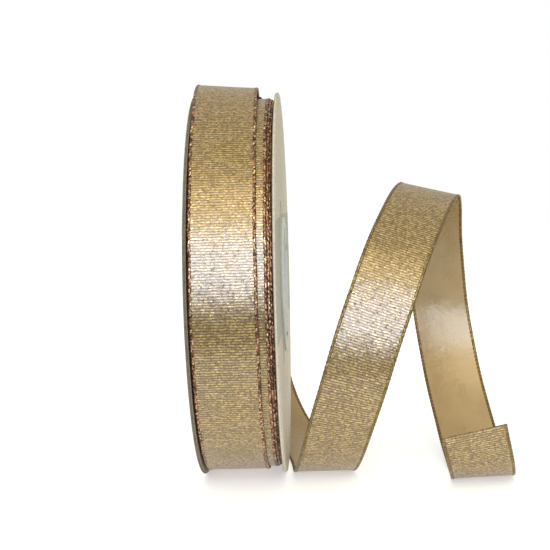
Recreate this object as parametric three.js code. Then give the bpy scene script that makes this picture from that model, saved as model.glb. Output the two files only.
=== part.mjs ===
// A spool of glitter ribbon, in millimetres with +Z up.
// The spool stands on its flange rims with its axis along X. The last turn of ribbon has come
// loose: it climbs over the top, drops behind the spool, and runs on to the right as a free tail
// that stands in one open coil and ends in a short upright cut end.
import * as THREE from 'three';

// Flanges: a greyboard disc with a paper facing outside and a paper lining inside.
const FLANGE_RADIUS = 50;
const FLANGE_SPACING = 20;
const BOARD = 0.5;
const PAPER = 0.11;
const GLUE_LINE = 0.02;
const PAPER_TRIM = 0.2;
const FLANGE_THICKNESS = BOARD + 2 * PAPER + 2 * GLUE_LINE;
const OUTER_FACE = FLANGE_SPACING / 2 + FLANGE_THICKNESS;

// Core: a paper tube through both flanges, its ends rolled over and pressed flat outside them.
const CORE_RADIUS = 16.7;
const CORE_WALL = 1.5;
const CORE_HOLE_CLEARANCE = 0.2;
const LIP_RADIUS = 18;
const LIP_THICKNESS = 0.7;
const LIP_ROUNDING = 0.3;

// Round paper label on each flange, around the lip.
const LABEL_INNER_RADIUS = 18.4;
const LABEL_OUTER_RADIUS = 21.6;
const LABEL_THICKNESS = 0.1;

// Ribbon: a woven web between two metallic selvedge cords.
const RIBBON_WIDTH = 16;
const RIBBON_THICKNESS = 0.3;
const SELVEDGE_WIDTH = 0.9;
const SELVEDGE_GAP = 0.1;

// Winding: the pack of turns, then the two turns whose right edges show beside the last one.
const PACK_RADIUS = 47.6;
const PACK_SIDE_GAP = 0.4;
const TURN_GAP = 0.05;
const THIRD_TURN_RIGHT_EDGE = 9.4;
const SECOND_TURN_RIGHT_EDGE = 8.7;
const LAST_TURN_RADIUS = 48.8;
const LAST_TURN_CENTRE = -1.65;

// Starter tape: holds the ribbon's inner end on the core.
const TAPE_WIDTH = 12;
const TAPE_LENGTH = 20;
const TAPE_THICKNESS = 0.1;

// Fineness of round and swept shapes. The number of facets divides by four, and one facet lies
// flat on the table, so the spool looks the same after every quarter turn and stands still.
const FACETS = 72;
const CORE_FACETS = 48;
const STEPS_PER_GUIDE = 8;
const AXIS_HEIGHT = FLANGE_RADIUS * Math.cos(Math.PI / FACETS);

// The ribbon's centre line is a smooth curve drawn towards guide points, one for each eighth of
// a turn. Guide 0 is at the front of the roll and guide 2 over its top. The wound turn's guides
// lie on a circle; the free tail's are listed: to the right, to the back, height above the
// table, and the tilt of the ribbon's width in degrees.
const EIGHTH_TURN = Math.PI / 4;
const FIRST_GUIDE = -7;
const TURN_START = -6;
const TAIL_END = 14.84;
const FIRST_TAIL_GUIDE = 2;
const TAIL_GUIDES = [
  [-2.5, 7, 112.5, 8],      // lifted over the top and the left rim
  [-4, 60, 68, -6],
  [0.5, 56, 15, -13],       // down behind the spool
  [11.5, 36.5, -0.5, -6],   // past the right rim, on the table
  [20, 14, 0.5, 1],
  [20, -16.5, -1.5, 0],     // first bend, in front of the right flange
  [26.5, -40.5, 23.5, 0],   // rising leg
  [39.5, -34.5, 61.5, 4],
  [51, -2.5, 78, 16],       // top of the open coil
  [53, 30, 67, 13],
  [55, 38.5, 36, 4],        // falling leg
  [59.5, 18, 8, 3],
  [62, -17, -5, 2],         // second bend, on the table
  [56.5, -45, 14.5, 3],     // short end, standing up
  [42.5, -35, 79.5, 3],
];

const material = (color, roughness, metalness = 0) =>
  new THREE.MeshStandardMaterial({ color, roughness, metalness });
const greyboard = material(0xa89c88, 0.9);
const whitePaper = material(0xd8d4c8, 0.35);
const liningPaper = material(0xb9ad98, 0.7);
const kraftPaper = material(0xb59a72, 0.85);
const labelPaper = material(0x9aa38c, 0.5);
const tapeFilm = material(0xe4dcb8, 0.3);
const glitterRibbon = material(0xc0a070, 0.35, 0.6);
const copperCord = material(0x8a5a2c, 0.3, 0.8);

function named(name, geometry, look) {
  const mesh = new THREE.Mesh(geometry, look);
  mesh.name = name;
  return mesh;
}

// Solid of revolution about the X axis. The outline is a closed loop of [radius, x] points.
function revolved(outline, facets) {
  const loop = [...outline, outline[0]].map(([radius, x]) => new THREE.Vector2(radius, x));
  const solid = new THREE.LatheGeometry(loop, facets, Math.PI / facets);
  return solid.rotateZ(-Math.PI / 2);
}

function ring(innerRadius, outerRadius, fromX, toX, facets = FACETS) {
  return revolved(
    [[innerRadius, fromX], [outerRadius, fromX], [outerRadius, toX], [innerRadius, toX]], facets);
}

// One flange and its label, from the inside out. side is -1 on the left and +1 on the right.
function flange(sideName, side) {
  const holeRadius = CORE_RADIUS + CORE_HOLE_CLEARANCE;
  const layer = (innerRadius, outerRadius, start, thickness) => {
    const [fromX, toX] = [side * start, side * (start + thickness)].sort((a, b) => a - b);
    return ring(innerRadius, outerRadius, fromX, toX);
  };
  const liningStart = FLANGE_SPACING / 2;
  const boardStart = liningStart + PAPER + GLUE_LINE;
  const facingStart = boardStart + BOARD + GLUE_LINE;
  const paperRadius = FLANGE_RADIUS - PAPER_TRIM;
  return [
    named(`${sideName}_flange_lining`, layer(holeRadius, paperRadius, liningStart, PAPER), liningPaper),
    named(`${sideName}_flange_board`, layer(holeRadius, FLANGE_RADIUS, boardStart, BOARD), greyboard),
    named(`${sideName}_flange_facing`, layer(holeRadius, paperRadius, facingStart, PAPER), whitePaper),
    named(`${sideName}_label`,
      layer(LABEL_INNER_RADIUS, LABEL_OUTER_RADIUS, OUTER_FACE + GLUE_LINE, LABEL_THICKNESS), labelPaper),
  ];
}

// Paper tube whose ends are rolled outwards into flat lips that hold the flanges on.
function coreTube() {
  const boreRadius = CORE_RADIUS - CORE_WALL;
  const lipStart = OUTER_FACE + 2 * GLUE_LINE;
  const end = lipStart + LIP_THICKNESS;
  const rightHalf = [
    [CORE_RADIUS, lipStart],
    [LIP_RADIUS, lipStart],
    [LIP_RADIUS, end - LIP_ROUNDING],
    [LIP_RADIUS - LIP_ROUNDING, end],
    [boreRadius + LIP_ROUNDING, end],
    [boreRadius, end - LIP_ROUNDING],
  ];
  const leftHalf = rightHalf.map(([radius, x]) => [radius, -x]).reverse();
  return revolved([...leftHalf, ...rightHalf], CORE_FACETS);
}

// Patch of tape bent round the top of the core.
function starterTape() {
  const inner = CORE_RADIUS + TURN_GAP;
  const outer = inner + TAPE_THICKNESS;
  const halfAngle = TAPE_LENGTH / CORE_RADIUS / 2;
  const [from, to] = [Math.PI / 2 - halfAngle, Math.PI / 2 + halfAngle];
  const arc = new THREE.Shape();
  arc.absarc(0, 0, outer, from, to, false);
  arc.absarc(0, 0, inner, to, from, true);
  const patch = new THREE.ExtrudeGeometry(arc, { depth: TAPE_WIDTH, bevelEnabled: false, curveSegments: 10 });
  patch.translate(0, 0, -TAPE_WIDTH / 2);
  return patch.rotateX(Math.PI / 2).rotateZ(Math.PI / 2);
}

// Guide points of the whole loose ribbon, as vectors with the tilt in radians as w.
function ribbonGuides() {
  // A smooth curve drawn towards points on a circle runs inside it by this share.
  const pull = (2 + Math.cos(EIGHTH_TURN)) / 3;
  const guides = [];
  for (let guide = FIRST_GUIDE; guide < FIRST_TAIL_GUIDE; guide += 1) {
    const angle = guide * EIGHTH_TURN;
    const radius = LAST_TURN_RADIUS / pull;
    guides.push(new THREE.Vector4(
      LAST_TURN_CENTRE, -radius * Math.cos(angle), AXIS_HEIGHT + radius * Math.sin(angle), 0));
  }
  for (const [right, back, height, tilt] of TAIL_GUIDES) {
    guides.push(new THREE.Vector4(right, back, height, THREE.MathUtils.degToRad(tilt)));
  }
  return guides;
}

function weightedSum(guides, first, weights) {
  const sum = new THREE.Vector4(0, 0, 0, 0);
  weights.forEach((weight, k) => sum.addScaledVector(guides[first + k], weight));
  return sum;
}

// Centre, width direction and inward direction of the ribbon at a place counted in guides.
function ribbonFrame(guides, place) {
  const first = Math.min(Math.floor(place), FIRST_GUIDE + guides.length - 3);
  const f = place - first;
  const spread = [(1 - f) ** 3, 3 * f ** 3 - 6 * f ** 2 + 4, -3 * f ** 3 + 3 * f ** 2 + 3 * f + 1, f ** 3];
  const slope = [-((1 - f) ** 2), 3 * f ** 2 - 4 * f, -3 * f ** 2 + 2 * f + 1, f ** 2];
  const start = first - 1 - FIRST_GUIDE;
  const point = weightedSum(guides, start, spread.map((weight) => weight / 6));
  const heading = weightedSum(guides, start, slope.map((weight) => weight / 2));
  const along = new THREE.Vector3(heading.x, heading.y, heading.z).normalize();
  const level = new THREE.Vector3(1, 0, 0).addScaledVector(along, -along.x).normalize();
  const inward = new THREE.Vector3().crossVectors(along, level);
  const across = level.multiplyScalar(Math.cos(point.w)).addScaledVector(inward, Math.sin(point.w));
  return {
    centre: new THREE.Vector3(point.x, point.y, point.z),
    across,
    inward: new THREE.Vector3().crossVectors(along, across),
  };
}

// Strip of the loose ribbon between two distances from its centre line, from the start of the
// last turn to the cut end. Nothing lies below the table.
function ribbonStrip(fromAcross, toAcross) {
  const guides = ribbonGuides();
  const half = RIBBON_THICKNESS / 2;
  const sections = Math.round((TAIL_END - TURN_START) * STEPS_PER_GUIDE);
  const corners = [];
  for (let section = 0; section <= sections; section += 1) {
    const place = TURN_START + (section * (TAIL_END - TURN_START)) / sections;
    const { centre, across, inward } = ribbonFrame(guides, place);
    for (const [side, face] of [[fromAcross, -half], [toAcross, -half], [toAcross, half], [fromAcross, half]]) {
      const corner = centre.clone().addScaledVector(across, side);
      corner.z = Math.max(corner.z, half);
      corners.push(corner.addScaledVector(inward, face));
    }
  }
  const triangles = [0, 2, 1, 0, 3, 2];
  for (let section = 0; section < sections; section += 1) {
    for (let k = 0; k < 4; k += 1) {
      const [a, b] = [section * 4 + k, section * 4 + ((k + 1) % 4)];
      triangles.push(a, b, a + 4, b, b + 4, a + 4);
    }
  }
  const last = sections * 4;
  triangles.push(last, last + 1, last + 2, last, last + 2, last + 3);
  const strip = new THREE.BufferGeometry().setFromPoints(corners);
  strip.setIndex(triangles);
  strip.computeVertexNormals();
  return strip;
}

function spool() {
  const group = new THREE.Group();
  const packInner = CORE_RADIUS + TURN_GAP + TAPE_THICKNESS + TURN_GAP;
  const packSide = FLANGE_SPACING / 2 - PACK_SIDE_GAP;
  const thirdInner = PACK_RADIUS + TURN_GAP;
  const secondInner = thirdInner + RIBBON_THICKNESS + TURN_GAP;
  const turn = (innerRadius, rightEdge) =>
    ring(innerRadius, innerRadius + RIBBON_THICKNESS, rightEdge - RIBBON_WIDTH, rightEdge);
  group.add(
    ...flange('left', -1),
    ...flange('right', 1),
    named('core_tube', coreTube(), kraftPaper),
    named('starter_tape', starterTape(), tapeFilm),
    named('wound_ribbon', ring(packInner, PACK_RADIUS, -packSide, packSide), glitterRibbon),
    named('third_turn', turn(thirdInner, THIRD_TURN_RIGHT_EDGE), glitterRibbon),
    named('second_turn', turn(secondInner, SECOND_TURN_RIGHT_EDGE), glitterRibbon),
  );
  group.position.z = AXIS_HEIGHT;
  return group;
}

function looseRibbon() {
  const group = new THREE.Group();
  const edge = RIBBON_WIDTH / 2;
  const webEdge = edge - SELVEDGE_WIDTH - SELVEDGE_GAP;
  group.add(
    named('tail_web', ribbonStrip(-webEdge, webEdge), glitterRibbon),
    named('tail_left_selvedge', ribbonStrip(-edge, -edge + SELVEDGE_WIDTH), copperCord),
    named('tail_right_selvedge', ribbonStrip(edge - SELVEDGE_WIDTH, edge), copperCord),
  );
  return group;
}

// The origin is on the table, at the middle of the footprint.
const ribbonSpool = new THREE.Group();
ribbonSpool.add(spool(), looseRibbon());
const footprint = new THREE.Box3().setFromObject(ribbonSpool, true);
const middle = footprint.getCenter(new THREE.Vector3());
ribbonSpool.position.set(-middle.x, -middle.y, -footprint.min.z);

export default ribbonSpool;
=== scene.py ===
"""A spool of glitter ribbon with its loose end standing beside it: the looks round the CAD frame.

Lengths are in metres and +Z is up. The spool's axis runs along X. The ribbon has a glitter side,
which faces outwards on the roll, and a smooth satin side.
"""

import math

import bmesh
import bpy
import numpy as np
from mathutils import Matrix, Vector


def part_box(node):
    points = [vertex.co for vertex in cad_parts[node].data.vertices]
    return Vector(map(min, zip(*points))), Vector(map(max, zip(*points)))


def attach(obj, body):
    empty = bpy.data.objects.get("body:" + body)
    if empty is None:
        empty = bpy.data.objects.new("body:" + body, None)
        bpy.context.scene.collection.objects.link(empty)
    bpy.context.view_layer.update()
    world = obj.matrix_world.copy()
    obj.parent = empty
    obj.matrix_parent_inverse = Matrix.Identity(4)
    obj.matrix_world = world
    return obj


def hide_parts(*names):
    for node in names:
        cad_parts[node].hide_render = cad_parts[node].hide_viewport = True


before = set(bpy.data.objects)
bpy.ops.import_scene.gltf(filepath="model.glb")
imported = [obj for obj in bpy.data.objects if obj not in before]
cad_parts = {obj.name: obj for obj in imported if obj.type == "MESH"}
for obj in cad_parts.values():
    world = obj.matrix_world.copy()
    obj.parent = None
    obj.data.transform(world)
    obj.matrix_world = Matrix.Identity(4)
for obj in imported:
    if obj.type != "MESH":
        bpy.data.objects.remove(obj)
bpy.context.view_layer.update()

MM = 0.001

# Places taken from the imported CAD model.
core_low, core_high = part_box("core_tube")
MIDDLE = (core_low + core_high) / 2
AXIS_HEIGHT = MIDDLE.z

# Camera, from the spool's middle.
CAMERA_OFFSET = Vector((22.2, -350.9, 26.5)) * MM
CAMERA_YAW = math.radians(-2.22)
CAMERA_PITCH = math.radians(-4.0)
CAMERA_ROLL = math.radians(-1.58)
CAMERA_LENS_MM = 86.7
CAMERA_SENSOR_MM = 36.0

# Light. Brightness is counted with a white page in full light as 1. The two area lights stand in
# front of the spool. Their elevation is in degrees, and their size is width and height in metres.
TENT_LIGHT = (0.70, 0.69, 0.64)
TENT_LIGHT_LOW_IN_FRONT = (0.26, 0.29, 0.34)
SKYLIGHT = (0.95, 0.88, 0.66)
LIGHT_DISTANCE = 1.05
WINDOW_LIGHT = 5.5
WINDOW_COLOR = (0.90, 1.0, 1.20)
WINDOW_ELEVATION = 15
WINDOW_SIZE = (0.5, 0.74)
WARM_LIGHT = 2.9
WARM_COLOR = (0.98, 0.77, 0.46)
WARM_ELEVATION = 48
WARM_SIZE = (0.5, 0.55)

# Table top: how brightly it glows, and where its edges are.
TABLE_GLOW = 0.45
TABLE_FRONT = -0.105
TABLE_BACK = 1.6
TABLE_HALF_LENGTH = 1.2
TABLE_THICKNESS = 12 * MM

# Flanges and core, as in the CAD. The flange's radius is to the middle of the sides of the CAD's
# many-sided outline, so that a round flange stands on the table.
FLANGE_RADIUS = AXIS_HEIGHT
FLANGE_SPACING = 20 * MM
BOARD = 0.5 * MM
PAPER = 0.11 * MM
GLUE_LINE = 0.02 * MM
PAPER_TRIM = 0.2 * MM
FLANGE_THICKNESS = BOARD + 2 * PAPER + 2 * GLUE_LINE
OUTER_FACE = FLANGE_SPACING / 2 + FLANGE_THICKNESS
FLANGE_WARP = 0.3 * MM
WARP_DIRECTION = 2.6     # where the right flange bends most, in radians up from its front
FLANGE_SEGMENTS = 240
FLANGE_RINGS = 9
CORE_RADIUS = 16.7 * MM
CORE_WALL = 1.5 * MM
CORE_HOLE_CLEARANCE = 0.2 * MM
LIP_RADIUS = 18 * MM
LIP_THICKNESS = 0.7 * MM
LIP_CRINKLE = 0.07 * MM
LIP_POINTS = 9
MOUTH_POINTS = 6
CORE_SEGMENTS = 288
CORE_SPIRAL_MM = 14.0
LABEL_INNER_RADIUS = 18.4 * MM
LABEL_OUTER_RADIUS = 21.6 * MM
LABEL_THICKNESS = 0.1 * MM

# Printing on the flanges: a band level with the hub, its edges counted up from the axis, rings of
# dashes between two radii, and the worn rim. Then the two circles on the label.
BAND_TOP = 18 * MM
BAND_BOTTOM = -11 * MM
BAND_SOFT_EDGE = 0.6 * MM
DASHES_PER_RING = 90
DASH_ROW_MM = 1.7
DASHES_FROM_MM = 24.6
DASHES_TO_MM = 31.6
DASHES_SOFT_EDGE_MM = 0.2
SCUFF_FROM_MM = 47.6
SCUFF_TO_MM = 49.9
LABEL_CIRCLES_MM = (19.0, 21.0)
LABEL_LINE_MM = 0.18

# Ribbon.
RIBBON_WIDTH = 16 * MM
RIBBON_THICKNESS = 0.3 * MM
WEB_THICKNESS = 0.24 * MM
WEB_COLUMNS = 18
WEB_EDGE_IN_CORD = 0.6   # where the web ends, as a share of the cord's width from the ribbon's edge
RIB_PITCH = 0.66 * MM
SATIN_LEAN = 0.10
FLOAT_LENGTH_MM = 0.38
FLOAT_WIDTH_MM = 0.58
COCKLE_WAVES_MM = (31, 19, 12, 8)
LAST_TURN_RADIUS = 48.8 * MM
LAST_TURN_CENTRE = -1.65 * MM

# Selvedge cords: flattened tubes with a bead at each wrap of their metal thread.
SELVEDGE_WIDTH = 0.9 * MM
SELVEDGE_THICKNESS = 0.42 * MM
CORD_ROUND_MM = 2.2      # millimetres round a cord
CORD_SIDES = 10
CORD_REST_HEIGHT = SELVEDGE_THICKNESS * 0.62
BEAD_PITCH = 1.25 * MM
BEAD_WIDENS = 0.10
BEAD_THICKENS = 0.22
CORD_WANDER = 0.04 * MM
WANDER_PITCH = 23 * MM
WRAP_PITCH_MM = 0.62

# How far along a cord it is painted coppery: a darker, contrasty look that stands for painted shade and
# painted dark reflections, where the free tail's stretch of the same cord is olive gold. The wound cords,
# all shorter than 10 m, are coppery to their end.
WHOLE_CORD_MM = 10000
LOOSE_CORD_SHADED_COPPER_MM = 285
SHADED_COPPER_FADE_MM = 40

# The turns wound under the last one, from the outside in: how far right of the middle each is.
# Each keeps its line for part of a turn and then shifts sideways, both counted in turns.
TURN_PITCH = 0.35 * MM
SECOND_TURN_RADIUS = 48.15 * MM
TURN_CENTRES = [0.7 * MM, 1.4 * MM, 1.85 * MM, -1.6 * MM, 0.2 * MM]
TURN_RUNS_ON = 0.15      # how far the second turn runs on under the last one, in radians
SHIFT_STARTS = 0.55
SHIFT_LASTS = 0.4

# The pack under them, whose sides show the edges of its outer turns.
PACK_HALF_WIDTH = 9.5 * MM
PACK_SEGMENTS = 144
PACK_CORE_GAP = 0.2 * MM
PACK_CORE_SETBACK = 0.1 * MM
RIDGED_TURNS = 24
RIDGE_DEPTH = 0.16 * MM

# Fineness of the ribbon's meshes, in distance along it, and how far the web cockles.
WOUND_WEB_STEP = 1.2 * MM
WOUND_CORD_STEP = 0.3 * MM
WOUND_COCKLE = 0.02 * MM
WOUND_SEED = 5
LOOSE_WEB_STEP = 0.7 * MM
LOOSE_CORD_STEP = 0.28 * MM
LOOSE_COCKLE = 0.05 * MM
LOOSE_SEED = 11
PATH_SAMPLES = 8000

# An edge is sharp where its faces meet at more than this angle.
WEB_SHARP_ANGLE = math.radians(60)
BOARD_SHARP_ANGLE = math.radians(40)
TABLE_SHARP_ANGLE = math.radians(30)

# The loose ribbon's centre line is a smooth curve drawn towards guide points, one for each eighth
# of a turn. Guide 0 is at the front of the roll and guide 2 over its top. The last turn's guides
# lie on a circle, and the free tail's are listed in millimetres: right of the middle between the
# flanges, behind the spool's axis, height above the table, and the tilt of the width in degrees.
EIGHTH_TURN = math.pi / 4
FIRST_GUIDE = -7
TURN_START = -6
TAIL_END = 14.84
FIRST_TAIL_GUIDE = 2
TAIL_GUIDES = [
    (-2.5, 7, 112.5, 8),      # lifted over the top and the left rim
    (-4, 60, 68, -6),
    (0.5, 56, 15, -13),       # down behind the spool
    (11.5, 36.5, -0.5, -6),   # past the right rim, on the table
    (20, 14, 0.5, 1),
    (20, -16.5, -1.5, 0),     # first bend, in front of the right flange
    (26.5, -40.5, 23.5, 0),   # rising leg
    (39.5, -34.5, 61.5, 4),
    (51, -2.5, 78, 16),       # top of the open coil
    (53, 30, 67, 13),
    (55, 38.5, 36, 4),        # falling leg
    (59.5, 18, 8, 3),
    (62, -17, -5, 2),         # second bend, on the table
    (56.5, -45, 14.5, 3),     # short end, standing up
    (42.5, -35, 79.5, 3),
]


# ---------------------------------------------------------------------------- camera and light

def add_camera():
    yaw, pitch, roll = CAMERA_YAW, CAMERA_PITCH, CAMERA_ROLL
    forward = Vector((math.sin(yaw) * math.cos(pitch), math.cos(yaw) * math.cos(pitch), math.sin(pitch)))
    level = Vector((math.cos(yaw), -math.sin(yaw), 0))
    upright = level.cross(forward)
    right = level * math.cos(roll) + upright * math.sin(roll)
    up = upright * math.cos(roll) - level * math.sin(roll)
    data = bpy.data.cameras.new("camera")
    data.lens = CAMERA_LENS_MM
    data.sensor_width = CAMERA_SENSOR_MM
    data.clip_start = 0.01
    data.clip_end = 20
    camera = bpy.data.objects.new("camera", data)
    camera.matrix_world = Matrix.Translation(MIDDLE + CAMERA_OFFSET) @ Matrix(
        (right, up, -forward)).transposed().to_4x4()
    bpy.context.scene.collection.objects.link(camera)
    bpy.context.scene.camera = camera


def add_area_light(name, elevation, size, brightness, color):
    """A soft rectangular light in front of the spool, elevation degrees above it."""
    width, height = size
    data = bpy.data.lights.new(name, "AREA")
    data.shape = "RECTANGLE"
    data.size = width
    data.size_y = height
    data.energy = brightness * math.pi * width * height
    data.color = color
    rise = math.radians(elevation)
    away = Vector((0, -math.cos(rise), math.sin(rise)))
    light = bpy.data.objects.new(name, data)
    light.location = MIDDLE + away * LIGHT_DISTANCE
    light.rotation_euler = (-away).to_track_quat("-Z", "Y").to_euler()
    light.visible_camera = False
    bpy.context.scene.collection.objects.link(light)


# -------------------------------------------------------------------------------- shader nodes

class Nodes:
    """Short calls that add nodes to a tree."""

    def __init__(self, tree):
        self.tree = tree

    def put(self, socket, value):
        if isinstance(value, bpy.types.NodeSocket):
            self.tree.links.new(value, socket)
        elif socket.type == "RGBA":
            socket.default_value = (*value, 1)
        else:
            socket.default_value = value

    def math(self, operation, a, b=0.0, c=0.0):
        node = self.tree.nodes.new("ShaderNodeMath")
        node.operation = operation
        for socket, value in zip(node.inputs, (a, b, c)):
            self.put(socket, value)
        return node.outputs[0]

    def combine(self, x, y, z=0.0):
        node = self.tree.nodes.new("ShaderNodeCombineXYZ")
        for socket, value in zip(node.inputs, (x, y, z)):
            self.put(socket, value)
        return node.outputs[0]

    def split(self, vector):
        node = self.tree.nodes.new("ShaderNodeSeparateXYZ")
        self.put(node.inputs[0], vector)
        return node.outputs

    def mix(self, share, first, second):
        node = self.tree.nodes.new("ShaderNodeMix")
        node.data_type = "RGBA"
        self.put(node.inputs[0], share)
        self.put(node.inputs[6], first)
        self.put(node.inputs[7], second)
        return node.outputs[2]

    def fade(self, value, start, end, low=0.0, high=1.0):
        """From low to high as value goes from start to end, smoothly."""
        node = self.tree.nodes.new("ShaderNodeMapRange")
        node.interpolation_type = "SMOOTHSTEP"
        for socket, number in zip(node.inputs, (value, start, end, low, high)):
            self.put(socket, number)
        return node.outputs[0]

    def noise(self, where, scale, detail=2.0, roughness=0.5):
        node = self.tree.nodes.new("ShaderNodeTexNoise")
        self.put(node.inputs["Vector"], where)
        node.inputs["Scale"].default_value = scale
        node.inputs["Detail"].default_value = detail
        node.inputs["Roughness"].default_value = roughness
        return node.outputs["Fac"]

    def cells(self, where, randomness=1.0):
        """Random numbers, three for each cell about 1 wide."""
        node = self.tree.nodes.new("ShaderNodeTexVoronoi")
        self.put(node.inputs["Vector"], where)
        node.inputs["Scale"].default_value = 1
        node.inputs["Randomness"].default_value = randomness
        return self.split(node.outputs["Color"]), node.outputs["Distance"]

    def mostly_flat(self, chance, most):
        """A random number from 0 to 1 turned into a lean that is mostly small, and at most most."""
        spread = self.math("MULTIPLY_ADD", chance, 2.0, -1.0)
        square = self.math("MULTIPLY", spread, spread)
        fifth = self.math("MULTIPLY", spread, self.math("MULTIPLY", square, square))
        return self.math("MULTIPLY", fifth, most)

    def along_over(self):
        """Millimetres along the piece and across it, from its own map."""
        node = self.tree.nodes.new("ShaderNodeUVMap")
        node.uv_map = "weave"
        x, y, _ = self.split(node.outputs["UV"])
        return x, y

    def direction(self):
        return self.tree.nodes.new("ShaderNodeTexCoord").outputs["Generated"]

    def position(self):
        return self.tree.nodes.new("ShaderNodeTexCoord").outputs["Object"]

    def tilted_normal(self, along_tilt, over_tilt):
        """The surface's normal, leaned by small amounts along and across the piece."""
        node = self.tree.nodes.new("ShaderNodeNormalMap")
        node.uv_map = "weave"
        lean = self.combine(
            self.math("MULTIPLY_ADD", along_tilt, 0.5, 0.5),
            self.math("MULTIPLY_ADD", over_tilt, 0.5, 0.5), 1.0)
        self.put(node.inputs["Color"], lean)
        return node.outputs["Normal"]

    def bump(self, height, normal=None):
        """height is in millimetres."""
        node = self.tree.nodes.new("ShaderNodeBump")
        node.inputs["Strength"].default_value = 1
        node.inputs["Distance"].default_value = MM
        self.put(node.inputs["Height"], height)
        if normal is not None:
            self.put(node.inputs["Normal"], normal)
        return node.outputs["Normal"]


class Look(Nodes):
    """A procedural material: a Principled shader with nodes in front of it."""

    def __init__(self, name):
        self.material = bpy.data.materials.new(name)
        self.material.use_nodes = True
        super().__init__(self.material.node_tree)
        self.shader = self.tree.nodes["Principled BSDF"]

    def set(self, **values):
        for name, value in values.items():
            self.put(self.shader.inputs[name.replace("_", " ")], value)


def add_studio():
    """A tent that looks plain white. As a light it is dimmer, least so high in front of the spool."""
    world = bpy.data.worlds.new("studio")
    bpy.context.scene.world = world
    world.use_nodes = True
    nodes = Nodes(world.node_tree)
    _, back, height = nodes.split(nodes.direction())
    front = nodes.fade(back, 0.2, -0.3)
    low = nodes.mix(front, TENT_LIGHT, TENT_LIGHT_LOW_IN_FRONT)
    high = nodes.mix(front, TENT_LIGHT, SKYLIGHT)
    light = nodes.mix(nodes.fade(height, 0.15, 0.45), low, high)
    seen = nodes.tree.nodes.new("ShaderNodeLightPath").outputs["Is Camera Ray"]
    background = world.node_tree.nodes["Background"]
    nodes.put(background.inputs["Color"], nodes.mix(seen, light, (1.0, 1.0, 1.0)))
    add_area_light("window", WINDOW_ELEVATION, WINDOW_SIZE, WINDOW_LIGHT, WINDOW_COLOR)
    add_area_light("warm_lamp", WARM_ELEVATION, WARM_SIZE, WARM_LIGHT, WARM_COLOR)
    bpy.context.scene.view_settings.view_transform = "Standard"


def ribs(look, along, over, pitch_mm, wander):
    """A wave from 0 to 1 for the weft ribs that cross the ribbon, a little uneven."""
    place = look.combine(look.math("MULTIPLY", along, 0.5), look.math("MULTIPLY", over, 0.35))
    drift = look.math("MULTIPLY", look.noise(place, 1.0), wander)
    phase = look.math("ADD", look.math("DIVIDE", along, pitch_mm), drift)
    wave = look.math("COSINE", look.math("MULTIPLY", phase, 2 * math.pi))
    return look.math("MULTIPLY_ADD", wave, 0.5, 0.5)


def glitter_web():
    """Ribbed web with short crinkled metal floats lying across it, some light and some dark."""
    look = Look("glitter_web")
    along, over = look.along_over()
    rib = ribs(look, along, over, RIB_PITCH / MM, 0.7)
    float_place = look.combine(
        look.math("DIVIDE", along, FLOAT_LENGTH_MM), look.math("DIVIDE", over, FLOAT_WIDTH_MM))
    (shade, lean, side), _ = look.cells(float_place, 1.0)
    crinkle = look.noise(float_place, 0.8, 2, 0.6)
    patch = look.noise(look.combine(along, over), 0.16, 3)
    patched_shade = look.math("MULTIPLY_ADD", patch, 0.5, look.math("SUBTRACT", shade, 0.25))
    warmth = look.fade(patched_shade, 0.1, 0.9)
    bright = look.math("MULTIPLY", look.fade(shade, 0.80, 0.88), look.fade(crinkle, 0.40, 0.54))
    # Painted shade in the rib and crinkle valleys, the low places of the bump: a dark brown colour, and
    # more metal that tints their reflection dark.
    ridge_over_shaded_valley = look.math("MULTIPLY",
        look.fade(rib, 0.05, 0.60, 0.05, 1),
        look.fade(crinkle, 0.34, 0.48, 0.1, 1))
    thread = look.mix(warmth, (0.205, 0.124, 0.013), (0.47, 0.315, 0.088))
    thread = look.mix(bright, thread, (0.60, 0.45, 0.21))
    # The dark brown valley colour is painted shade.
    color = look.mix(ridge_over_shaded_valley, (0.115, 0.063, 0.012), thread)
    height = look.math("ADD", look.math("MULTIPLY", rib, 0.006), look.math("MULTIPLY", crinkle, 0.018))
    float_metal = look.math("MULTIPLY", bright, 0.4)
    # More metal in the valleys darkens their reflection: painted shade.
    shaded_valley_metal = look.math("MULTIPLY_ADD", ridge_over_shaded_valley, -0.45, 0.45)
    lean_along = look.mostly_flat(lean, 0.10)
    lean_over = look.mostly_flat(side, 0.12)
    look.set(
        Base_Color=color,
        Metallic=look.math("MAXIMUM", float_metal, shaded_valley_metal),
        Roughness=look.math("MULTIPLY_ADD", ridge_over_shaded_valley, -0.12, 0.36),
        IOR=2.15,
        Normal=look.bump(height, look.tilted_normal(lean_along, lean_over)))
    return look.material


def satin_back():
    """Smooth side: fine warp threads along the ribbon and a soft cloudy sheen."""
    look = Look("satin_back")
    along, over = look.along_over()
    place = look.combine(along, over)
    cloud_place = look.combine(look.math("MULTIPLY", along, 0.10), look.math("MULTIPLY", over, 0.16))
    cloud = look.noise(cloud_place, 1.0, 2)
    rib = ribs(look, along, over, RIB_PITCH / MM, 0.4)
    thread_place = look.combine(look.math("MULTIPLY", along, 0.8), look.math("MULTIPLY", over, 6.0))
    thread = look.noise(thread_place, 1.0, 2)
    base = look.mix(look.fade(cloud, 0.3, 0.7), (0.360, 0.250, 0.114), (0.405, 0.285, 0.137))
    unevenness = look.math("MULTIPLY", look.noise(place, 0.4, 3), 0.10)
    threads = look.math("MULTIPLY_ADD", thread, 0.006, unevenness)
    height = look.math("ADD", look.math("MULTIPLY", rib, 0.004), threads)
    look.set(
        Base_Color=base,
        Roughness=look.math("MULTIPLY_ADD", cloud, 0.12, 0.22),
        IOR=1.80,
        Specular_Tint=(1.0, 0.92, 0.76),
        Normal=look.bump(height, look.tilted_normal(SATIN_LEAN, 0.0)))
    return look.material


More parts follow.
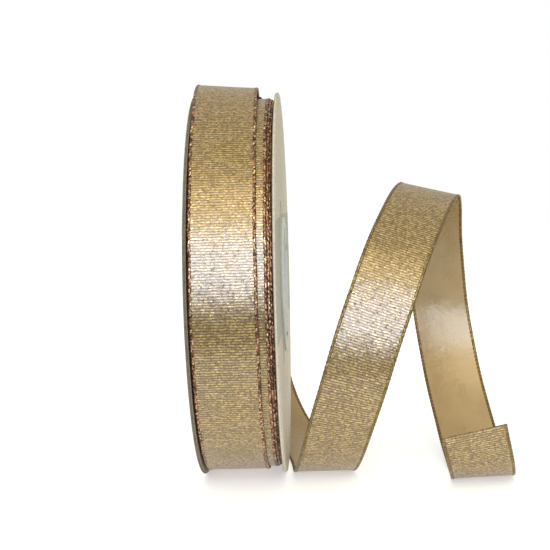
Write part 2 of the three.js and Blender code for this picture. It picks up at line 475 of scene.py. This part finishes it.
def selvedge_cord(name, shaded_copper_until_mm):
    """Metal-wrapped edge threads: strips of metal with dark gaps between the wraps.

    The wraps are coppery up to the distance given along the cord, and olive gold after that. The coppery
    stretch, dark wraps beside bright ones, is painted shade and painted dark reflection on the cord wound
    on the roll.
    """
    look = Look(name)
    along, over = look.along_over()
    wrap_place = look.combine(
        look.math("MULTIPLY_ADD", over, 0.8, look.math("DIVIDE", along, WRAP_PITCH_MM)),
        look.math("MULTIPLY", over, 2.2))
    (shade, lean, side), edge = look.cells(wrap_place, 0.8)
    tone = look.noise(look.combine(along, over), 0.35, 2)
    # Coppery wraps spread from near black to bright, with purplish patches: partly the thread's own
    # random tone, partly painted dark reflections and shade.
    shaded_copper = look.mix(look.fade(shade, 0.35, 0.90), (0.19, 0.090, 0.045), (0.74, 0.52, 0.31))
    shaded_copper = look.mix(look.fade(tone, 0.46, 0.62, 0, 0.65), shaded_copper, (0.40, 0.17, 0.10))
    # Darkened cell edges, the recessed gaps between wraps: painted shade.
    shaded_copper = look.mix(look.fade(edge, 0.45, 0.75), shaded_copper, (0.07, 0.040, 0.018))
    olive = look.mix(tone, (0.13, 0.085, 0.028), (0.34, 0.245, 0.105))
    # The olive stretch's gaps between wraps are darkened less: painted shade.
    olive = look.mix(look.fade(edge, 0.45, 0.85, 0, 0.6), olive, (0.08, 0.052, 0.018))
    # Coppery with painted shade and reflection up to the given distance, then olive gold.
    color = look.mix(look.fade(along, shaded_copper_until_mm, shaded_copper_until_mm + SHADED_COPPER_FADE_MM), shaded_copper, olive)
    leaned = look.tilted_normal(look.mostly_flat(lean, 0.5), look.mostly_flat(side, 0.5))
    look.set(
        Base_Color=color,
        Metallic=0.75,
        Roughness=look.math("MULTIPLY_ADD", side, 0.15, 0.28),
        Normal=look.bump(look.math("MULTIPLY", edge, -0.06), leaned))
    return look.material


def pack_edge():
    """Cut or stacked ribbon seen edge on, at the pack's sides and the tail's end: dark and gold grain."""
    look = Look("pack_edge")
    place = look.position()
    grain = look.noise(place, 900, 3)
    color = look.mix(look.fade(grain, 0.4, 0.6), (0.12, 0.06, 0.02), (0.45, 0.25, 0.09))
    look.set(
        Base_Color=color,
        Metallic=0.3,
        Roughness=0.6,
        Normal=look.bump(look.math("MULTIPLY", grain, 0.1)))
    return look.material


def board_look(name, dark, light):
    """Greyboard: matted fibres in layers, between a dark and a light shade."""
    look = Look(name)
    place = look.position()
    fibre = look.noise(place, 2600, 4, 0.7)
    layer = look.noise(place, 600, 2)
    fibres = look.fade(fibre, 0.3, 0.7, 0, 0.75)
    share = look.math("MULTIPLY_ADD", look.fade(layer, 0.35, 0.65), 0.25, fibres)
    color = look.mix(share, dark, light)
    look.set(Base_Color=color, Roughness=0.85, Normal=look.bump(look.math("MULTIPLY", fibre, 0.06)))
    return look.material


def facing_look():
    """Coated white paper, gone slightly warm, with a sage band and rows of dashes printed on it."""
    look = Look("facing_paper")
    radius, turn = look.along_over()
    place = look.position()
    _, _, height = look.split(place)
    above_axis = look.math("SUBTRACT", height, AXIS_HEIGHT)
    mottle = look.noise(place, 220, 3)
    fibre = look.noise(place, 1500, 3)
    base = look.mix(look.fade(mottle, 0.3, 0.7), (0.54, 0.49, 0.375), (0.60, 0.545, 0.425))
    band = look.math("MULTIPLY",
        look.fade(above_axis, BAND_BOTTOM - BAND_SOFT_EDGE, BAND_BOTTOM),
        look.fade(above_axis, BAND_TOP, BAND_TOP - BAND_SOFT_EDGE))
    base = look.mix(band, base, look.mix(mottle, (0.33, 0.355, 0.255), (0.40, 0.425, 0.315)))
    dash = look.math("SINE", look.math("MULTIPLY", turn, 2 * math.pi * DASHES_PER_RING))
    row = look.math("SINE", look.math("MULTIPLY", radius, 2 * math.pi / DASH_ROW_MM))
    ring = look.math("MULTIPLY",
        look.fade(radius, DASHES_FROM_MM, DASHES_FROM_MM + DASHES_SOFT_EDGE_MM),
        look.fade(radius, DASHES_TO_MM, DASHES_TO_MM - DASHES_SOFT_EDGE_MM))
    dashes = look.math("MULTIPLY", look.fade(dash, 0.1, 0.3), look.fade(row, 0.35, 0.6))
    dash_place = look.combine(
        look.math("DIVIDE", radius, DASH_ROW_MM), look.math("MULTIPLY", turn, DASHES_PER_RING))
    (ink, _, _), _ = look.cells(dash_place, 0)
    some_dashes = look.math("MULTIPLY", dashes, look.fade(ink, 0.35, 0.45, 0, 0.75))
    printed = look.math("MULTIPLY", ring, some_dashes)
    color = look.mix(printed, base, (0.16, 0.17, 0.11))
    rim = look.fade(radius, SCUFF_FROM_MM, SCUFF_TO_MM)
    scuff = look.math("MULTIPLY", rim, look.fade(fibre, 0.45, 0.6))
    color = look.mix(look.math("MULTIPLY", scuff, 0.6), color, (0.74, 0.72, 0.66))
    look.set(
        Base_Color=color,
        Roughness=look.math("MULTIPLY_ADD", mottle, 0.16, 0.45),
        IOR=1.35,
        Normal=look.bump(look.math("MULTIPLY_ADD", fibre, 0.006, look.math("MULTIPLY", mottle, 0.05))))
    return look.material


def lining_look():
    """Plain uncoated paper inside the flanges."""
    look = Look("lining_paper")
    place = look.position()
    fibre = look.noise(place, 1800, 4, 0.65)
    color = look.mix(look.fade(fibre, 0.3, 0.7), (0.26, 0.22, 0.15), (0.36, 0.31, 0.22))
    look.set(Base_Color=color, Roughness=0.8, Normal=look.bump(look.math("MULTIPLY", fibre, 0.02)))
    return look.material


def label_look():
    """Sage green label ring with two thin printed circles."""
    look = Look("label_paper")
    radius, _ = look.along_over()
    place = look.position()
    fibre = look.noise(place, 1500, 3)
    base = look.mix(look.fade(fibre, 0.3, 0.7), (0.37, 0.395, 0.300), (0.44, 0.470, 0.365))
    away = [look.math("ABSOLUTE", look.math("SUBTRACT", radius, circle)) for circle in LABEL_CIRCLES_MM]
    inner, outer = (look.math("LESS_THAN", distance, LABEL_LINE_MM / 2) for distance in away)
    color = look.mix(look.math("MAXIMUM", inner, outer), base, (0.62, 0.62, 0.54))
    look.set(Base_Color=color, Roughness=0.45, Normal=look.bump(look.math("MULTIPLY", fibre, 0.012)))
    return look.material


def core_look():
    """Pale paper wound in a spiral, with a seam line where the strips meet; the pale, cool grey is partly
    the paper's own colour and partly painted highlight for white glare on its lip and mouth.
    """
    look = Look("kraft_core")
    across, turn = look.along_over()
    place = look.position()
    fibre = look.noise(place, 1600, 4, 0.65)
    streak_place = look.combine(look.math("MULTIPLY", across, 0.5), look.math("MULTIPLY", turn, 20))
    streak = look.noise(streak_place, 1.0, 3)
    # Pale cool grey: partly the paper's colour, partly a painted highlight standing for white glare on
    # the lip and mouth.
    base = look.mix(look.fade(fibre, 0.3, 0.7), (0.58, 0.60, 0.57), (0.68, 0.70, 0.68))
    base = look.mix(look.fade(streak, 0.3, 0.7, 0, 0.4), base, (0.50, 0.51, 0.46))
    spiral = look.math("FRACT", look.math("ADD", turn, look.math("DIVIDE", across, CORE_SPIRAL_MM)))
    seam = look.fade(look.math("ABSOLUTE", look.math("SUBTRACT", spiral, 0.5)), 0.004, 0.014, 1, 0)
    color = look.mix(seam, base, (0.10, 0.09, 0.065))
    look.set(
        Base_Color=color,
        Roughness=0.55,
        Normal=look.bump(look.math("MULTIPLY_ADD", seam, -0.15, look.math("MULTIPLY", fibre, 0.03))))
    return look.material


def tape_look():
    """Thin clear tape, yellowed, with fine creases."""
    look = Look("tape_film")
    crease = look.noise(look.position(), 700, 3)
    color = look.mix(look.fade(crease, 0.3, 0.7), (0.70, 0.64, 0.44), (0.80, 0.75, 0.57))
    look.set(Base_Color=color, Roughness=0.25, Normal=look.bump(look.math("MULTIPLY", crease, 0.02)))
    return look.material


def table_look():
    """White acrylic lit a little from below, as on a light table."""
    look = Look("white_table")
    grain = look.noise(look.position(), 30, 3)
    look.set(
        Base_Color=look.mix(grain, (0.80, 0.82, 0.87), (0.83, 0.85, 0.90)),
        Roughness=0.6,
        Emission_Color=(1.0, 1.0, 1.0),
        Emission_Strength=TABLE_GLOW)
    return look.material


# ------------------------------------------------------------------------------------- meshes

def mesh_piece(name, points, faces, materials, maps=None, slots=None):
    """A smooth mesh object.

    maps gives the millimetres along and across at each face corner, and slots gives each face's
    place in materials.
    """
    mesh = bpy.data.meshes.new(name)
    mesh.from_pydata(points.tolist(), [], faces.tolist())
    for material in materials:
        mesh.materials.append(material)
    if maps is not None:
        layer = mesh.uv_layers.new(name="weave")
        layer.data.foreach_set("uv", maps.astype(np.float32).ravel())
    if slots is not None:
        mesh.polygons.foreach_set("material_index", slots.astype(np.int32))
    mesh.shade_smooth()
    mesh.validate()
    piece = bpy.data.objects.new(name, mesh)
    bpy.context.scene.collection.objects.link(piece)
    return piece


def tube_faces(sections, around, closed_lengthwise):
    """Quads between rings of points, the ring index running slowest."""
    ring = np.arange(sections if closed_lengthwise else sections - 1)
    i, k = np.meshgrid(ring, np.arange(around), indexing="ij")
    following = (i + 1) % sections
    beside = (k + 1) % around
    corners = [i * around + k, i * around + beside, following * around + beside, following * around + k]
    return np.stack(corners, axis=-1).reshape(-1, 4), i.ravel(), k.ravel()


def weighted_guides(guides, first, weights):
    return sum(guides[first + k] * weight[:, None] for k, weight in enumerate(weights))


def loose_guides():
    """Guide points of the loose ribbon in the frame's metres, with the tilt in radians last."""
    pull = (2 + math.cos(EIGHTH_TURN)) / 3
    rows = []
    for guide in range(FIRST_GUIDE, FIRST_TAIL_GUIDE):
        angle = guide * EIGHTH_TURN
        radius = LAST_TURN_RADIUS / pull
        rows.append((
            MIDDLE.x + LAST_TURN_CENTRE, MIDDLE.y - radius * math.cos(angle),
            AXIS_HEIGHT + radius * math.sin(angle), 0))
    for right, back, height, tilt in TAIL_GUIDES:
        rows.append((MIDDLE.x + right * MM, MIDDLE.y + back * MM, height * MM, math.radians(tilt)))
    return np.array(rows)


def unit(vectors):
    return vectors / np.linalg.norm(vectors, axis=1, keepdims=True)


def ribbon_frames(guides, places):
    """Centre, width direction and inward direction of the ribbon at places counted in guides."""
    first = np.minimum(np.floor(places).astype(int), FIRST_GUIDE + len(guides) - 3)
    f = places - first
    spread = [(1 - f) ** 3, 3 * f ** 3 - 6 * f ** 2 + 4, -3 * f ** 3 + 3 * f ** 2 + 3 * f + 1, f ** 3]
    slope = [-((1 - f) ** 2), 3 * f ** 2 - 4 * f, -3 * f ** 2 + 2 * f + 1, f ** 2]
    start = first - 1 - FIRST_GUIDE
    point = weighted_guides(guides, start, spread) / 6
    along = unit(weighted_guides(guides, start, slope)[:, :3])
    level = unit(np.array([1.0, 0, 0]) - along * along[:, :1])
    inward = np.cross(along, level)
    tilt = point[:, 3:]
    across = level * np.cos(tilt) + inward * np.sin(tilt)
    return point[:, :3], across, np.cross(along, across)


def evenly(guides, step):
    """Places about step apart along the loose ribbon, and each one's distance from the start."""
    fine = np.linspace(TURN_START, TAIL_END, PATH_SAMPLES)
    centres = ribbon_frames(guides, fine)[0]
    run = np.concatenate([[0], np.cumsum(np.linalg.norm(np.diff(centres, axis=0), axis=1))])
    distance = np.linspace(0, run[-1], int(run[-1] / step) + 1)
    return np.interp(distance, run, fine), distance


def wound_frames(distance_back):
    """The same three for the turns under the last one, by distance back from where they end."""
    turns = distance_back / (2 * math.pi * SECOND_TURN_RADIUS)
    radius = SECOND_TURN_RADIUS + TURN_PITCH * (0.5 - turns)
    angle = TURN_START * EIGHTH_TURN + TURN_RUNS_ON - 2 * math.pi * turns
    number = np.clip(np.floor(turns).astype(int), 0, len(TURN_CENTRES) - 2)
    centres = np.array(TURN_CENTRES)
    shift = np.clip((turns - number - SHIFT_STARTS) / SHIFT_LASTS, 0, 1)
    shift = shift * shift * (3 - 2 * shift)
    sideways = centres[number] + (centres[number + 1] - centres[number]) * shift
    outward = np.stack([np.zeros_like(angle), -np.cos(angle), np.sin(angle)], axis=1)
    centre = np.array([MIDDLE.x, MIDDLE.y, AXIS_HEIGHT]) + outward * radius[:, None]
    centre[:, 0] += sideways
    across = np.tile([1.0, 0, 0], (len(angle), 1))
    return centre, across, -outward


def cockle(distance, over, seed):
    """Slight unevenness of the cloth, from -1 to 1, by distance along and across."""
    random = np.random.default_rng(seed)
    total = np.zeros(np.broadcast(distance, over).shape)
    for wave_mm in COCKLE_WAVES_MM:
        lean, shift = random.uniform(-1, 1), random.uniform(0, 2 * math.pi)
        phase = 2 * math.pi * (distance + lean * over) / (wave_mm * MM) + shift
        total = total + np.sin(phase) * wave_mm / sum(COCKLE_WAVES_MM)
    return total


def ribbon_maps(distance, section, near, far):
    """The map of faces between two sections. near and far are each face's edges across the piece."""
    here, there = distance[section] / MM, distance[section + 1] / MM
    along = np.stack([here, here, there, there], 1)
    across = np.stack([near, far, far, near], 1)
    return np.stack([along, across], axis=-1).reshape(-1, 2)


def web_piece(name, frames, distance, looks, seed, waviness):
    """The ribbon between its selvedges: glitter outside and satin inside."""
    centre, across, inward = frames
    half_width = RIBBON_WIDTH / 2 - SELVEDGE_WIDTH * WEB_EDGE_IN_CORD
    over = np.linspace(-half_width, half_width, WEB_COLUMNS)
    calm = 1 - (over / half_width) ** 4
    lift = cockle(distance[:, None], over[None, :], seed) * waviness * calm[None, :]
    middle = centre[:, None, :] + across[:, None, :] * over[None, :, None]
    middle[..., 2] = np.maximum(middle[..., 2], RIBBON_THICKNESS / 2)
    middle = middle + inward[:, None, :] * lift[..., None]
    half = inward[:, None, :] * WEB_THICKNESS / 2
    rings = np.concatenate([middle - half, (middle + half)[:, ::-1]], axis=1)
    sections, around = rings.shape[:2]
    faces, section, column = tube_faces(sections, around, False)
    over_map = np.concatenate([over, over[::-1]]) / MM
    maps = ribbon_maps(distance, section, over_map[column], over_map[(column + 1) % around])
    slots = np.where(column < WEB_COLUMNS - 1, 0, 1)
    materials = [looks["glitter_web"], looks["satin_back"], looks["pack_edge"]]
    piece = mesh_piece(name, rings.reshape(-1, 3), faces, materials, maps, slots)
    cap_ends(piece, around, sections)
    piece.data.set_sharp_from_angle(angle=WEB_SHARP_ANGLE)
    return piece


def face_outwards(piece, caps=()):
    """Turns every face outwards, after closing each ring of point numbers in caps with a face."""
    mesh = piece.data
    shell = bmesh.new()
    shell.from_mesh(mesh)
    shell.verts.ensure_lookup_table()
    for cap in caps:
        face = shell.faces.new([shell.verts[k] for k in cap])
        face.material_index = len(mesh.materials) - 1
    bmesh.ops.recalc_face_normals(shell, faces=shell.faces)
    shell.to_mesh(mesh)
    shell.free()


def cap_ends(piece, around, sections):
    """Closes the first and last ring of a tube, so that the piece is a closed body."""
    first = range(around)
    last = range((sections - 1) * around, sections * around)
    face_outwards(piece, [first[::-1], last])


def selvedge_piece(name, frames, distance, side, cord):
    """One beaded edge cord: a flattened tube that swells at each wrap of its metal thread."""
    centre, across, inward = frames
    turn = np.arange(CORD_SIDES) * 2 * math.pi / CORD_SIDES
    bead = np.cos(2 * math.pi * distance / BEAD_PITCH)
    wander = np.sin(2 * math.pi * distance / WANDER_PITCH) * CORD_WANDER
    offset = side * (RIBBON_WIDTH - SELVEDGE_WIDTH) / 2 + wander
    width = SELVEDGE_WIDTH / 2 * (1 + BEAD_WIDENS * bead)
    height = SELVEDGE_THICKNESS / 2 * (1 + BEAD_THICKENS * bead)
    middle = centre + across * offset[:, None]
    middle[:, 2] = np.maximum(middle[:, 2], CORD_REST_HEIGHT)
    rings = (middle[:, None, :]
             + across[:, None, :] * (width[:, None] * np.cos(turn))[..., None]
             - inward[:, None, :] * (height[:, None] * np.sin(turn))[..., None])
    sections = len(distance)
    faces, section, k = tube_faces(sections, CORD_SIDES, False)
    near = k / CORD_SIDES * CORD_ROUND_MM
    far = (k + 1) / CORD_SIDES * CORD_ROUND_MM
    maps = ribbon_maps(distance, section, near, far)
    piece = mesh_piece(name, rings.reshape(-1, 3), faces, [cord], maps)
    cap_ends(piece, CORD_SIDES, sections)
    return piece


def revolved(name, outline, segments, material, shape=None):
    """A closed solid of revolution about the spool's axis. The outline is a loop of (radius, x).

    shape(radius, x, angle) may return changed radius and x, for warps and crinkles. The map is
    the outline's radius in millimetres, or x on a face along the axis, and the turn from 0 to 1.
    """
    outline = np.array(outline)
    angle = np.arange(segments) * 2 * math.pi / segments
    radius = np.tile(outline[:, 0], (segments, 1))
    x = np.tile(outline[:, 1], (segments, 1))
    theta = np.tile(angle[:, None], (1, len(outline)))
    if shape is not None:
        radius, x = shape(radius, x, theta)
    points = np.stack([
        MIDDLE.x + x, MIDDLE.y - radius * np.cos(theta), AXIS_HEIGHT + radius * np.sin(theta)], axis=-1)
    faces, section, k = tube_faces(segments, len(outline), True)
    beside = (k + 1) % len(outline)
    start, end = outline[k], outline[beside]
    along_axis = np.abs(end[:, 1] - start[:, 1]) > np.abs(end[:, 0] - start[:, 0])
    here = np.where(along_axis, start[:, 1], start[:, 0]) / MM
    there = np.where(along_axis, end[:, 1], end[:, 0]) / MM
    turn = section / segments
    step = 1 / segments
    maps = np.stack([
        np.stack([here, there, there, here], 1),
        np.stack([turn, turn, turn + step, turn + step], 1)], axis=-1).reshape(-1, 2)
    piece = mesh_piece(name, points.reshape(-1, 3), faces, [material], maps)
    face_outwards(piece)
    piece.data.set_sharp_from_angle(angle=BOARD_SHARP_ANGLE)
    return piece


def flange_warp(side):
    """Bends a flange outwards a little on one side, as thin board does: low on the left flange."""
    def shape(radius, x, angle):
        bend = (radius / FLANGE_RADIUS) ** 3 * (0.5 + 0.5 * np.cos(angle - WARP_DIRECTION * side))
        return radius, x + side * FLANGE_WARP * bend
    return shape


def flange_pieces(side_name, side, looks):
    """Board with a facing outside and a lining inside, and the label round the core's lip.

    The right flange's board is painted paler than the left's, as painted light on its lit cut edge; the
    left's is painted darker, as painted shade.
    """
    hole = CORE_RADIUS + CORE_HOLE_CLEARANCE
    lining = FLANGE_SPACING / 2
    board = lining + PAPER + GLUE_LINE
    facing = board + BOARD + GLUE_LINE
    label = OUTER_FACE + GLUE_LINE
    layers = [
        ("flange_lining", "lining_paper", hole, FLANGE_RADIUS - PAPER_TRIM, lining, PAPER),
        ("flange_board", "greyboard", hole, FLANGE_RADIUS, board, BOARD),
        ("flange_facing", "facing_paper", hole, FLANGE_RADIUS - PAPER_TRIM, facing, PAPER),
        ("label", "label_paper", LABEL_INNER_RADIUS, LABEL_OUTER_RADIUS, label, LABEL_THICKNESS),
    ]
    # The right flange gets the paler copy of the board: painted light on its lit rim.
    shown = dict(looks, greyboard=looks["pale_lit_board"]) if side > 0 else looks
    for layer, slot, inner, outer, start, thickness in layers:
        soft = thickness * 0.25
        rings = np.linspace(inner, outer - soft, FLANGE_RINGS)
        near, far = start, start + thickness
        outline = [(r, side * near) for r in rings]
        outline += [(outer, side * (near + soft)), (outer, side * (far - soft))]
        outline += [(r, side * far) for r in rings[::-1]]
        name = f"{side_name}_{layer}_shown"
        piece = revolved(name, outline, FLANGE_SEGMENTS, shown[slot], flange_warp(side))
        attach(piece, "spool")
        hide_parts(f"{side_name}_{layer}")


def core_piece(looks):
    """Paper tube whose ends are rolled outwards and pressed flat, with small crinkles in the lips."""
    bore = CORE_RADIUS - CORE_WALL
    lip = OUTER_FACE + 2 * GLUE_LINE
    end = lip + LIP_THICKNESS
    bend = LIP_THICKNESS / 2
    roll = [(LIP_RADIUS - bend + bend * math.sin(a), lip + bend - bend * math.cos(a))
            for a in np.linspace(0, math.pi, LIP_POINTS)]
    mouth = [(bore + bend - bend * math.sin(a), end - bend + bend * math.cos(a))
             for a in np.linspace(0, math.pi / 2, MOUTH_POINTS)]
    right = [(CORE_RADIUS, 0.0), (CORE_RADIUS, lip)] + roll + mouth + [(bore, 0.0)]
    left = [(radius, -x) for radius, x in right[::-1]]
    outline = right + left[1:-1]

    def crinkled(radius, x, angle):
        share = np.clip((radius - bore) / (LIP_RADIUS - bore), 0, 1) * (np.abs(x) > OUTER_FACE)
        wave = np.sin(37 * angle) * 0.6 + np.sin(61 * angle + 1.3) * 0.4
        dent = share * (0.5 + 0.5 * wave) * LIP_CRINKLE
        return radius + share * wave * LIP_CRINKLE, x - np.sign(x) * dent

    piece = revolved("core_tube_shown", outline, CORE_SEGMENTS, looks["kraft_core"], crinkled)
    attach(piece, "spool")
    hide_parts("core_tube")


def pack_piece(looks):
    """The turns deep in the roll, as one body whose sides show the turns' edges."""
    outer = SECOND_TURN_RADIUS - TURN_PITCH * (len(TURN_CENTRES) - 1)
    right = [(CORE_RADIUS + PACK_CORE_GAP, PACK_HALF_WIDTH - PACK_CORE_SETBACK)]
    radius = outer - RIDGED_TURNS * TURN_PITCH
    while radius < outer:
        right.append((radius, PACK_HALF_WIDTH - RIDGE_DEPTH))
        right.append((radius + TURN_PITCH * 0.5, PACK_HALF_WIDTH))
        radius += TURN_PITCH
    left = [(r, -x) for r, x in right[::-1]]
    piece = revolved("wound_pack", left + right, PACK_SEGMENTS, looks["pack_edge"])
    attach(piece, "spool")
    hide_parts("wound_ribbon")


def wound_pieces(looks):
    """The turns just under the last one, each a little to one side of the next."""
    length = 2 * math.pi * SECOND_TURN_RADIUS * (len(TURN_CENTRES) - 1)
    distance = np.linspace(0, length, int(length / WOUND_WEB_STEP))
    frames = wound_frames(distance)
    web = web_piece("wound_turns", frames, distance, looks, WOUND_SEED, WOUND_COCKLE)
    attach(web, "spool")
    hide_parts("second_turn", "third_turn")
    fine = np.linspace(0, length, int(length / WOUND_CORD_STEP))
    for name, side in (("wound_left_selvedge", -1), ("wound_right_selvedge", 1)):
        cord = selvedge_piece(name, wound_frames(fine), fine, side, looks["selvedge_cord"])
        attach(cord, "spool")


def loose_pieces(looks):
    """The last turn and the free tail: one sheet of ribbon with a cord along each edge."""
    guides = loose_guides()
    places, distance = evenly(guides, LOOSE_WEB_STEP)
    frames = ribbon_frames(guides, places)
    web = web_piece("ribbon_tail", frames, distance, looks, LOOSE_SEED, LOOSE_COCKLE)
    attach(web, "loose_ribbon")
    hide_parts("tail_web")
    places, fine = evenly(guides, LOOSE_CORD_STEP)
    for name, side, node in (
            ("tail_left_cord", -1, "tail_left_selvedge"), ("tail_right_cord", 1, "tail_right_selvedge")):
        cord = selvedge_piece(name, ribbon_frames(guides, places), fine, side, looks["loose_cord"])
        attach(cord, "loose_ribbon")
        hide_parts(node)


def add_table():
    """A white table top with bevelled edges. Its front edge is close in front of the spool."""
    bevel = TABLE_THICKNESS / 4
    edge = [(bevel, 0.0), (0.0, -bevel), (0.0, bevel - TABLE_THICKNESS), (bevel, -TABLE_THICKNESS)]
    points = []
    for inset, height in edge:
        for x, y in ((-1, 0), (1, 0), (1, 1), (-1, 1)):
            front, back = TABLE_FRONT + inset, TABLE_BACK - inset
            points.append((x * (TABLE_HALF_LENGTH - inset), back if y else front, height))
    faces, _, _ = tube_faces(len(edge), 4, False)
    table = mesh_piece("table_top", np.array(points), faces, [table_look()])
    cap_ends(table, 4, len(edge))
    table.data.set_sharp_from_angle(angle=TABLE_SHARP_ANGLE)


add_camera()
add_studio()
looks = {
    "glitter_web": glitter_web(),
    "satin_back": satin_back(),
    "selvedge_cord": selvedge_cord("selvedge_cord", WHOLE_CORD_MM),
    "loose_cord": selvedge_cord("loose_cord", LOOSE_CORD_SHADED_COPPER_MM),
    "pack_edge": pack_edge(),
    # Two copies of one greyboard: the left's darkened as painted shade, the right's paler as painted
    # light.
    "greyboard": board_look("greyboard", (0.085, 0.068, 0.047), (0.20, 0.165, 0.120)),
    "pale_lit_board": board_look("pale_lit_board", (0.42, 0.38, 0.30), (0.66, 0.61, 0.50)),
    "facing_paper": facing_look(),
    "lining_paper": lining_look(),
    "label_paper": label_look(),
    "kraft_core": core_look(),
    "tape_film": tape_look(),
}
wound_pieces(looks)
loose_pieces(looks)
pack_piece(looks)
flange_pieces("left", -1, looks)
flange_pieces("right", 1, looks)
core_piece(looks)
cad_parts["starter_tape"].material_slots[0].material = looks["tape_film"]
add_table()
